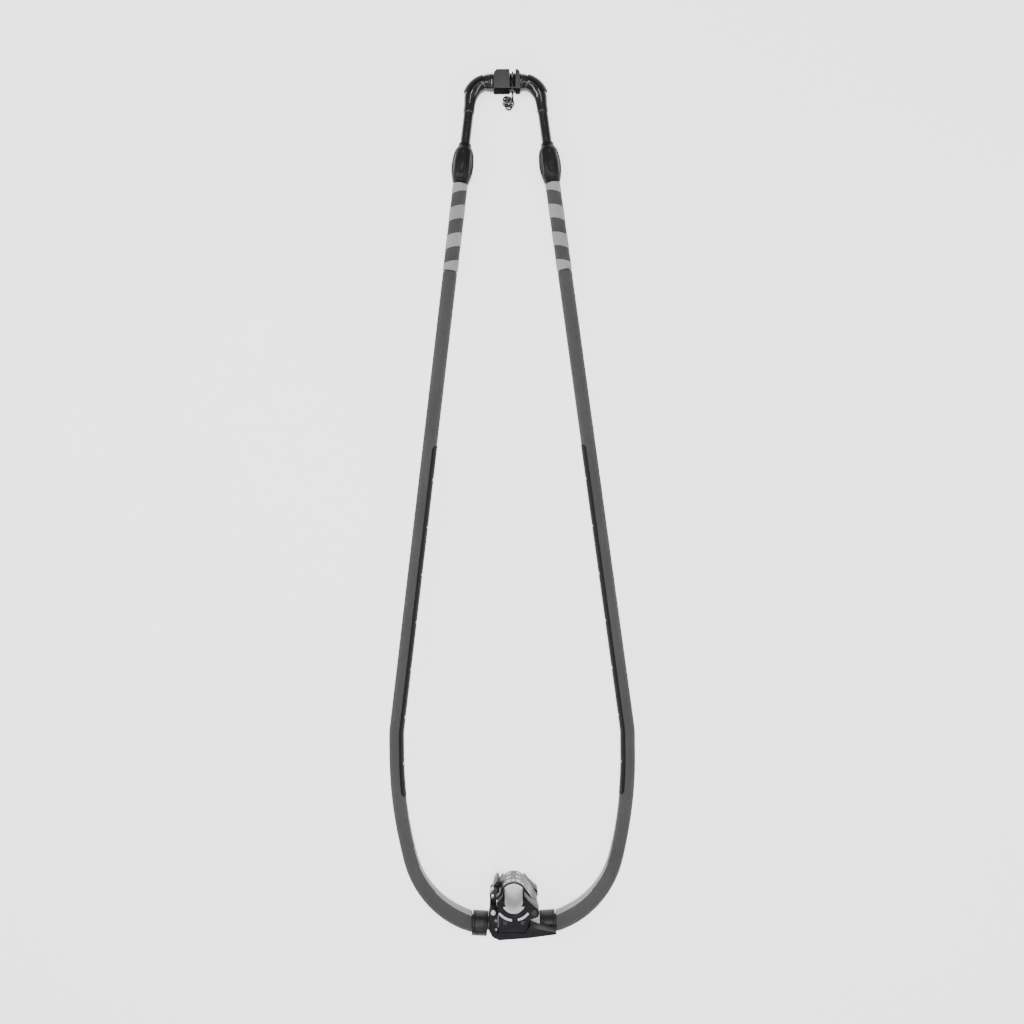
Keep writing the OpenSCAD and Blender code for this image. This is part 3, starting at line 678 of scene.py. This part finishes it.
def make_rear_grip(side):
    """Slanted bands are cut a little into the foam. A ring's slant fades out at both ends."""
    length = REAR_GRIP_LENGTH - 1 * MM
    marks = []
    for start, stop in BANDS:
        marks += [(start * MM - 0.5 * MM, 0)]
        marks += [(t, BAND_STEP) for t in steps(start * MM, stop * MM, 4 * MM)]
        marks += [(stop * MM + 0.5 * MM, 0)]
    edges = [0.0] + [v * MM for band in BANDS for v in band] + [length]
    for start, stop in zip(edges[::2], edges[1::2]):
        marks += [(t, 0) for t in steps(start, stop, 4 * MM)[1:-1]]
    marks = [m for m in sorted(marks) if 1.2 * MM < m[0] < length - 1.2 * MM]
    lip = [(0, 1.4 * MM), (0.5 * MM, 0.35 * MM)]
    rows = lip + marks + [(length - t, depth) for t, depth in lip[::-1]] + [(length, None), (0, None)]
    verts, picks = [], []
    for t, depth in rows:
        slant = BAND_SLANT * smooth(t / SLANT_FADE) * smooth((length - t) / SLANT_FADE)
        r = TUBE_R + GRIP_PLAY if depth is None else REAR_GRIP_R - depth
        for j in range(GRIP_COLS):
            a = 2 * math.pi * (j + 0.5) / GRIP_COLS
            point, outward, _ = ARM.at(ARM.end - 1 * MM - t - slant * REAR_GRIP_R * math.cos(a))
            verts.append(round_at(point, outward, r, a))
    for row, after in zip(rows, rows[1:]):
        picks += [int(BAND_STEP not in (row[1], after[1]) or row[1] != after[1])] * GRIP_COLS
    picks += [1] * GRIP_COLS
    faces = loop_faces(len(rows), GRIP_COLS)
    add_mesh(f"{side}_rear_grip_foam", mirrored(verts, side), faces, [FOAM_DARK, FOAM_LIGHT], "boom",
             (f"{side}_rear_grip",), picks)


PAD_FRONT_Y = 196 * MM
PAD_REAR_Y = 937 * MM
PAD_HALF_ANGLE = math.radians(63)
PAD_THICK = 0.9 * MM
PAD_SUNK = 1.6 * MM
PAD_END = 13 * MM
PAD_COLS = 40
NOTCH_FIRST_Y = 268 * MM
NOTCH_GAP = 100 * MM
NOTCH_HALF = 2.2 * MM
NOTCH_REACH = math.radians(24)
NOTCH_DEPTH = 1.5 * MM


def notch_depth(s, a, notches):
    near = min(abs(s - n) for n in notches)
    if near > NOTCH_HALF or abs(a - math.pi) > NOTCH_REACH:
        return 0.0
    return NOTCH_DEPTH * (1 - near / NOTCH_HALF) * (1 - abs(a - math.pi) / NOTCH_REACH * 0.4)


def make_pad(side):
    first, last = ARM.where_y(PAD_FRONT_Y), ARM.where_y(PAD_REAR_Y)
    notches = []
    n = ARM.where_y(NOTCH_FIRST_Y)
    while n < last - 20 * MM:
        notches.append(n)
        n += NOTCH_GAP
    stations = set(steps(first, last, 4 * MM))
    for n in notches:
        stations |= {n - NOTCH_HALF, n - NOTCH_HALF / 2, n, n + NOTCH_HALF / 2, n + NOTCH_HALF}
    stations = sorted(stations)
    cols = PAD_COLS
    verts, picks = [], []
    for s in stations:
        point, outward, _ = ARM.at(s)
        radius = grip_radius(point.y)
        end = min(s - first, last - s) / PAD_END
        spread = PAD_HALF_ANGLE * math.sqrt(min(1.0, max(0.02, end * (2 - end) if end < 1 else 1.0)))
        for j in range(cols + 1):
            across = -1 + 2 * j / cols
            a = math.pi + spread * across
            edge = min(1.0, (1 - abs(across)) / 0.09) * min(1.0, max(0.0, end) / 0.12)
            raised = PAD_THICK * math.sqrt(max(0.0, edge * (2 - edge))) - notch_depth(s, a, notches)
            verts.append(round_at(point, outward, radius + raised, a))
        for j in range(cols, -1, -1):
            a = math.pi + spread * (-1 + 2 * j / cols)
            verts.append(round_at(point, outward, radius - PAD_SUNK, a))
    ring = 2 * (cols + 1)
    for i in range(len(stations) - 1):
        s = (stations[i] + stations[i + 1]) / 2
        for j in range(ring):
            across = -1 + 2 * (j + 0.5) / cols
            in_notch = j < cols and notch_depth(s, math.pi + PAD_HALF_ANGLE * across, notches) > 0
            picks.append(int(in_notch))
    picks += [0, 0]
    faces = grid_faces(len(stations), ring)
    add_mesh(f"{side}_harness_pad_rubber", mirrored(verts, side), faces, [PAD_BLACK, MARK_PALE], "boom",
             (f"{side}_harness_pad",), picks, sharp=50)


# ---------- Cuffs ----------

def make_cuff(side):
    """Rubber sleeve with rounded lips and a raised band at each end, sloped a little to the tail."""
    bore, neck, outer = 21.4, 14.4, 25.0
    profile = [(0.3, neck), (0, neck + 1), (0, outer - 2.6), (0.5, outer - 1.2),
               (1.6, outer - 0.2), (2.8, outer)]
    for groove in (5.5, 26):
        profile += [(groove, outer), (groove + 0.6, outer - 0.9), (groove + 1.2, outer - 0.9),
                    (groove + 1.8, outer - 0.2)]
    profile += [(28.4, outer + 0.1), (30.5, outer + 0.2), (31.8, outer - 0.3), (32.4, outer - 1.2),
                (32.4, bore + 0.6), (31.6, bore), (12, bore), (7, neck)]
    verts, faces = lathe([(a * MM, r * MM) for a, r in profile], 80)
    turn = Matrix.Rotation(math.radians(4), 3, "Z") @ Matrix.Rotation(math.radians(90), 3, "Y")
    spot = Vector((CUFF_START, -MAST_TO_TUBE - 0.4 * MM, 0))
    verts = [spot + turn @ v for v in verts]
    add_mesh(f"{side}_cuff_rubber", mirrored(verts, side), faces, [CUFF_BLACK], "boom",
             (f"{side}_cuff",))


# ---------- Twist locks ----------

# Distance past the arm's end and radius, in millimetres
LOCK_PROFILE = ((3, 16.6), (4, 17.4), (6, 17.9), (6.6, 17.3), (8, 17.3), (8.6, 18.3), (11, 19.2),
                (17, 20.9), (25, 22.2), (32, 22.9), (40, 23.2), (48, 22.7), (55, 21.9), (62, 20.8),
                (68, 19.4), (72, 17.6), (76, 15), (79, 13.9), (83.5, 13.4), (84.6, 12.9), (85, 12))
LOCK_BORE = ((85, 11), (79, 11), (79, 13.5), (61, 13.5), (48.5, 15.1), (46.5, 15.1),
             (46.4, 15.48), (3, 15.48))
LOCK_COLS = 120
FLUTES = 6
FLUTE_DEPTH = 1.9 * MM
FLUTE_MIDDLE = 41
FLUTE_HALF = 25
FLUTE_SPREAD = 0.3


def lock_radius(s):
    """The nut's outer radius at a distance, on straight lines between its outline's points."""
    for (a, ra), (b, rb) in zip(LOCK_PROFILE, LOCK_PROFILE[1:]):
        if s <= b:
            return mix(ra, rb, (s - a) / (b - a))
    return LOCK_PROFILE[-1][1]


def flute_cut(s, a):
    """Depth of the long oval hollows round the nut."""
    part = 2 * math.pi / FLUTES
    off = (a % part) / part - 0.5
    along = (s - FLUTE_MIDDLE) / FLUTE_HALF
    reach = (off / FLUTE_SPREAD) ** 2 + along ** 4
    return FLUTE_DEPTH * smooth(1.35 * (1 - reach)) if reach < 1 else 0.0


def make_lock(side):
    marks = sorted({p[0] for p in LOCK_PROFILE} | set(steps(9, 75, 1.5)))
    rings = [(s, lock_radius(s), True) for s in marks] + [(s, r, False) for s, r in LOCK_BORE]
    verts = []
    for s, r, outer in rings:
        point, outward, _ = ARM.at(ARM.end + s * MM)
        for j in range(LOCK_COLS):
            a = 2 * math.pi * j / LOCK_COLS
            radius = r * MM - (flute_cut(s, a) if outer else 0)
            verts.append(round_at(point, outward, radius, a))
    faces = loop_faces(len(rings), LOCK_COLS)
    add_mesh(f"{side}_lock_barrel", mirrored(verts, side), faces, [NYLON_BLACK], f"{side}_lock",
             (f"{side}_lock_nut",))


# ---------- Tail ----------

LEG_R = 10.7 * MM
LEG_INSIDE = 450 * MM
TAIL_Y = 1694 * MM
CORNER_R = 40 * MM
CORNER_START = 150 * MM
CORNER_END_X = 34.05 * MM
CORNER_STEPS = 30
# The moulding's radius at its mouth, and what it gains along the leg and beside the block, in mm
CORNER_MOUTH_R = 11.9
CORNER_GROWTH = 3.5
CORNER_END_GROWTH = 2.3
CORNER_LIP = 1.2 * MM
SOCKET_PLAY = 0.05 * MM
TAIL_COLS = 64
# Where a leg starts to bend, just outside the lock
LEG_BEND_START = 88 * MM


def corner_entry():
    y = TAIL_Y - CORNER_R * (1 - math.sin(math.radians(KINK_TURN)))
    return (y - ARM_END_Y) / math.cos(math.radians(KINK_TURN))


CORNER_ENTRY = corner_entry()


def make_leg(side):
    """A leg bends a little between the lock and the corner when the tail slides."""
    stations = [-LEG_INSIDE + 1 * MM, 0] + steps(60 * MM, CORNER_ENTRY - 3 * MM, 2 * MM)
    verts = []
    for s in stations:
        point, outward, _ = ARM.at(ARM.end + s)
        for j in range(TAIL_COLS):
            verts.append(round_at(point, outward, LEG_R, 2 * math.pi * j / TAIL_COLS))
    mesh = bpy.data.meshes.new(f"{side}_leg_tube")
    mesh.from_pydata([tuple(v) for v in mirrored(verts, side)], [],
                     grid_faces(len(stations), TAIL_COLS))
    mesh.materials.append(CARBON)
    b = bmesh.new()
    b.from_mesh(mesh)
    bmesh.ops.recalc_face_normals(b, faces=b.faces)
    b.to_mesh(mesh)
    b.free()
    mesh.shade_smooth()
    mesh.set_sharp_from_angle(angle=math.radians(40))
    leg = bpy.data.objects.new(f"{side}_leg_tube", mesh)
    bpy.context.scene.collection.objects.link(leg)
    start = ARM.at(ARM.end + LEG_BEND_START)[0]
    end = ARM.at(ARM.end + CORNER_START - 3 * MM)[0]
    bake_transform(leg, "boom", "tail", start=(0, start.y, 0), end=(0, end.y, 0))
    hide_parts(f"{side}_leg")


def make_corner(side):
    """The moulded corner grows from the leg to the cross tube."""
    path = []
    for s in steps(CORNER_START, CORNER_ENTRY, 1.5 * MM):
        point, outward, _ = ARM.at(ARM.end + s)
        path.append((point, outward))
    entry, outward, _ = ARM.at(ARM.end + CORNER_ENTRY)
    centre = entry - outward * CORNER_R
    first = math.radians(KINK_TURN)
    for i in range(1, CORNER_STEPS + 1):
        a = first + (math.pi / 2 - first) * i / CORNER_STEPS
        out = Vector((math.cos(a), math.sin(a), 0))
        path.append((centre + out * CORNER_R, out))
    path.append((Vector((CORNER_END_X, TAIL_Y, 0)), Vector((0, 1, 0))))
    verts = []
    total = [0.0]
    for (p, _), (q, _) in zip(path, path[1:]):
        total.append(total[-1] + (q - p).length)
    for (point, out), run in zip(path, total):
        share = run / total[-1]
        r = (CORNER_MOUTH_R + CORNER_GROWTH * smooth((share - 0.15) / 0.4)
             + CORNER_END_GROWTH * smooth((share - 0.82) / 0.18)) * MM
        if run < CORNER_LIP:
            r -= 0.6 * MM * (1 - run / CORNER_LIP)
        for j in range(TAIL_COLS):
            verts.append(round_at(point, out, r, 2 * math.pi * j / TAIL_COLS))
    # The socket's mouth turns in to the leg.
    point, out = path[0]
    mouth = [round_at(point, out, LEG_R + SOCKET_PLAY, 2 * math.pi * j / TAIL_COLS)
             for j in range(TAIL_COLS)]
    faces = grid_faces(len(path) + 1, TAIL_COLS)
    add_mesh(f"{side}_corner_moulding", mirrored(mouth + verts, side), faces, [CARBON],
             "tail", (f"{side}_corner",))


# ---------- Strap ----------

STRAP_IN = 24.5 * MM
STRAP_T = 4 * MM
STRAP_MID = STRAP_IN + STRAP_T / 2
STRAP_HALF = 30.5 * MM
PIN = Vector((42, -22)) * MM
RUN_SIDE = 5 * MM
RIGHT_TANGENT = math.atan2(PIN.y, PIN.x) + math.acos((STRAP_MID - RUN_SIDE) / PIN.length)
LEFT_TANGENT = math.radians(165)
LUG_REACH = 14 * MM
STRAP_RIM = 2.5 * MM
STRAP_ROUNDING = 0.6 * MM
# Height of the outer rows of openings, and half the sizes of the large and small ones
WINDOW_LEVEL = 19.5
LARGE_HALF = (4 * MM, 5.25 * MM)
SMALL_HALF = (2.5 * MM, 2.5 * MM)
RUN_OUT = Vector((math.cos(RIGHT_TANGENT), math.sin(RIGHT_TANGENT), 0))
RUN_START = PIN.to_3d() + RUN_OUT * RUN_SIDE
RUN_END = RUN_OUT * STRAP_MID
RUN_LENGTH = (RUN_END - RUN_START).length


def strap_at(s):
    """Middle point and outward direction at distance s along the band from the lug pin's side."""
    if s < RUN_LENGTH:
        return RUN_START.lerp(RUN_END, s / RUN_LENGTH), RUN_OUT
    a = RIGHT_TANGENT + (s - RUN_LENGTH) / STRAP_MID
    out = Vector((math.cos(a), math.sin(a), 0))
    return out * STRAP_MID, out


def strap_distance(degrees):
    return RUN_LENGTH + (math.radians(degrees) - RIGHT_TANGENT) * STRAP_MID


def strap_windows():
    """Openings as (distance, height, half length, half height)."""
    large = [27 * MM, strap_distance(69), strap_distance(111)]
    small = [strap_distance(48), strap_distance(90), strap_distance(132)]
    levels = (-WINDOW_LEVEL, 0, WINDOW_LEVEL)
    openings = [(s, z * MM, *LARGE_HALF) for s in large for z in levels]
    return openings + [(s, WINDOW_LEVEL * MM, *SMALL_HALF) for s in small]


def filled(marks, size):
    """Marks with more values put between them, so that no gap is much over size."""
    marks = sorted(set(round(m, 6) for m in marks))
    made = []
    for a, b in zip(marks, marks[1:]):
        count = max(1, round((b - a) / size))
        made += [mix(a, b, i / count) for i in range(count)]
    return made + [marks[-1]]


def make_strap():
    """The band has punched openings. It is grey outside and black inside and on its rims; the walls of its
    openings carry painted light in the pad's pale colour."""
    openings = strap_windows()
    last = strap_distance(math.degrees(LEFT_TANGENT))
    sides = [s + k * wide for s, _, wide, _ in openings for k in (-1, 1)]
    levels = [z + k * rise for _, z, _, rise in openings for k in (-1, 1)]
    along = filled([LUG_REACH, RUN_LENGTH, last] + sides, 1.6 * MM)
    heights = filled([-STRAP_HALF, STRAP_HALF] + levels, 4 * MM)
    line = [strap_at(s) for s in along]
    cols = len(heights)
    half = STRAP_T / 2 - 0.2 * MM
    outer = [p + out * half + UP * z for p, out in line for z in heights]
    inner = [p - out * half + UP * z for p, out in line for z in heights]

    def is_open(i, j):
        s = (along[i] + along[i + 1]) / 2
        z = (heights[j] + heights[j + 1]) / 2
        return any(abs(s - at) < wide and abs(z - up) < rise for at, up, wide, rise in openings)

    cells = {(i, j) for i in range(len(line) - 1) for j in range(cols - 1) if not is_open(i, j)}
    under = len(outer)
    faces = []
    for i, j in cells:
        a, b, c, d = i * cols + j, (i + 1) * cols + j, (i + 1) * cols + j + 1, i * cols + j + 1
        faces.append((a, b, c, d))
        faces.append((d + under, c + under, b + under, a + under))
        for near, p, q in (((i, j - 1), a, b), ((i + 1, j), b, c), ((i, j + 1), c, d), ((i - 1, j), d, a)):
            if near not in cells:
                faces.append((q, p, p + under, q + under))
    mesh = bpy.data.meshes.new("strap_band_nylon")
    mesh.from_pydata([tuple(v) for v in outer + inner], [], sorted(faces))
    b = bmesh.new()
    b.from_mesh(mesh)
    bmesh.ops.delete(b, geom=[v for v in b.verts if not v.link_faces], context="VERTS")
    bmesh.ops.recalc_face_normals(b, faces=b.faces)
    round_edges(b, math.radians(40), STRAP_ROUNDING)
    for face in b.faces:
        middle = face.calc_center_median()
        round_mast = middle.y > middle.x * math.tan(RIGHT_TANGENT)
        out = middle.to_2d().normalized() if round_mast else RUN_OUT.to_2d()
        facing = face.normal.to_2d().dot(out)
        rim = abs(middle.z) > STRAP_HALF - STRAP_RIM
        if facing > 0.8:
            face.material_index = 0
        elif rim or facing < -0.8:
            face.material_index = 1
        # Painted light: the openings' walls take the pad's pale colour where the band would shade them.
        else:
            face.material_index = 2
    b.to_mesh(mesh)
    b.free()
    for material in (STRAP_GREY, NYLON_BLACK, LINING_AND_PAINTED_LIGHT):
        mesh.materials.append(material)
    place_mesh("strap_band_nylon", mesh, "strap", ("strap_band",), 35)


# The insert's rim is light on the front tube's side of this line, and black on the other
INSERT_SPLIT_Y = -9.8 * MM


def make_insert():
    """The mast insert is light, with a black rim where it meets the shells' wings."""
    insert = refined("mast_insert", INSERT_LIGHT, 0.8 * MM)
    mesh = insert.data
    mesh.materials.append(SHELL_BLACK)
    b = bmesh.new()
    b.from_mesh(mesh)
    everything = b.verts[:] + b.edges[:] + b.faces[:]
    bmesh.ops.bisect_plane(b, geom=everything, plane_co=(0, INSERT_SPLIT_Y, 0), plane_no=(0, 1, 0))
    for face in b.faces:
        middle = face.calc_center_median()
        outward = face.normal.to_2d().dot(middle.to_2d().normalized())
        rim = abs(face.normal.z) > 0.3 or outward > 0.3 or face.normal.y > 0.8
        if rim and middle.y > INSERT_SPLIT_Y:
            face.material_index = 1
    b.to_mesh(mesh)
    b.free()


for side in SIDES:
    make_grip(side)
    make_rear_grip(side)
    make_pad(side)
    make_cuff(side)
    make_lock(side)
    make_leg(side)
    make_corner(side)
make_strap()
make_insert()

# Pieces whose CAD shape is right get rounded edges, of this many millimetres, and their own finish.
ROUNDED = {
    "upper_shell": (SHELL_BLACK, 1.2), "lower_shell": (SHELL_BLACK, 1.2),
    "head_core": (PLASTIC_LIGHT, 1.0), "inlay_arcs": (PLASTIC_LIGHT, 0.4),
    "lever": (SHELL_BLACK, 1.6), "buckle": (NYLON_BLACK, 1.2),
    "strap_lug": (NYLON_BLACK, 1.0), "strap_pad": (LINING_AND_PAINTED_LIGHT, 0.8),
    "link_plates": (STEEL_DARK, 0.6), "lug_pin": (STEEL_DARK, 0.6),
    "lever_pin": (STEEL, 0.4), "link_pin": (STEEL, 0.5),
    "shell_bolts": (STEEL_DARK, 0.5), "lever_rivets": (STEEL_MID, 0.35),
    "strap_rivets": (STEEL, 0.4), "front_bushes": (PLASTIC_LIGHT, 0.2),
    "tail_housing": (HOUSING_GREY, 1.2), "tail_cheek": (HOUSING_GREY, 1.0),
    "tail_spacers": (CARBON, 0.8), "tail_screws": (STEEL_DARK, 0.5),
    "cleat": (STEEL, 0.3), "line_roller": (NYLON_BLACK, 0.4),
    "left_bumper": (NYLON_BLACK, 0.8), "right_bumper": (NYLON_BLACK, 0.8),
}
# The line's channel lies between these distances from the middle plane
CHANNEL_NEAR = 5 * MM
CHANNEL_FAR = 24 * MM

for node, (material, edge) in ROUNDED.items():
    piece = refined(node, material, edge * MM)
    if node in ("tail_housing", "tail_cheek"):
        # Painted shade: the side towards the head and the channel's walls get a near-black matt finish,
        # unlike the cover.
        piece.data.materials.append(PAINTED_SHADE_BLACK)
        for face in piece.data.polygons:
            in_channel = abs(face.normal.x) > 0.5 and CHANNEL_NEAR < face.center.x < CHANNEL_FAR
            if face.normal.y < -0.5 or in_channel:
                face.material_index = 1

# Inner tubes and sleeves keep their CAD meshes.
KEPT = {
    "front_tube": ALLOY_DARK, "left_arm_bend": ALLOY_DARK, "right_arm_bend": ALLOY_DARK,
    "left_arm_tube": ALLOY_DARK, "right_arm_tube": ALLOY_DARK, "cross_tube": ALLOY_DARK,
    "left_lock_base": NYLON_BLACK, "right_lock_base": NYLON_BLACK, "left_collet": PLASTIC_LIGHT,
    "right_collet": PLASTIC_LIGHT, "left_seal_ring": CUFF_BLACK, "right_seal_ring": CUFF_BLACK,
}
for node, material in KEPT.items():
    for slot in frame["nodes"][node].material_slots:
        slot.material = material


# ---------- Floor and light ----------

FLOOR_GLOW = 1.9
WORLD_GLOW = 0.4
FLOOR_REST = (Vector((0, -0.022, -0.062)), Vector((0, 1.711, -0.0252)))


def make_floor():
    """The boom lies on its head and its tail block, so the floor is tilted a little to the boom."""
    head_end, tail_end = FLOOR_REST
    slope = math.atan2(tail_end.z - head_end.z, tail_end.y - head_end.y)
    bpy.ops.mesh.primitive_plane_add(size=30, location=head_end, rotation=(slope, 0, 0))
    floor = bpy.context.object
    floor.name = "floor"
    s = Shader("floor_pale", 0.9)
    pale = s.mix(s.noise(3, 2), grey(0.9), grey(0.93))
    s.colour(pale)
    s.join(pale, s.surface.inputs["Emission Color"])
    s.surface.inputs["Emission Strength"].default_value = FLOOR_GLOW
    floor.data.materials.append(s.finish(shine=0.1))


def add_light(name, spot, aim, size, power):
    data = bpy.data.lights.new(name, "AREA")
    data.shape = "RECTANGLE"
    data.size, data.size_y = size
    data.energy = power
    light = bpy.data.objects.new(name, data)
    light.location = spot
    light.rotation_euler = (Vector(aim) - Vector(spot)).to_track_quat("-Z", "Y").to_euler()
    bpy.context.scene.collection.objects.link(light)


def make_light():
    world = bpy.data.worlds.new("studio")
    world.use_nodes = True
    background = world.node_tree.nodes["Background"]
    background.inputs["Color"].default_value = (1, 1, 1, 1)
    background.inputs["Strength"].default_value = WORLD_GLOW
    bpy.context.scene.world = world
    add_light("key", (-2.0, 1.2, 2.2), (0, 0.8, 0), (0.35, 3.0), 45)
    add_light("fill", (2.0, 0.8, 2.2), (0, 0.8, 0), (0.35, 3.0), 30)
    add_light("head_light", (0, -1.8, 2.0), (0, 0, 0), (1.6, 0.3), 14)
    add_light("top_strip", (0, 0.8, 2.7), (0, 0.8, 0), (0.12, 3.4), 45)


make_floor()
make_light()
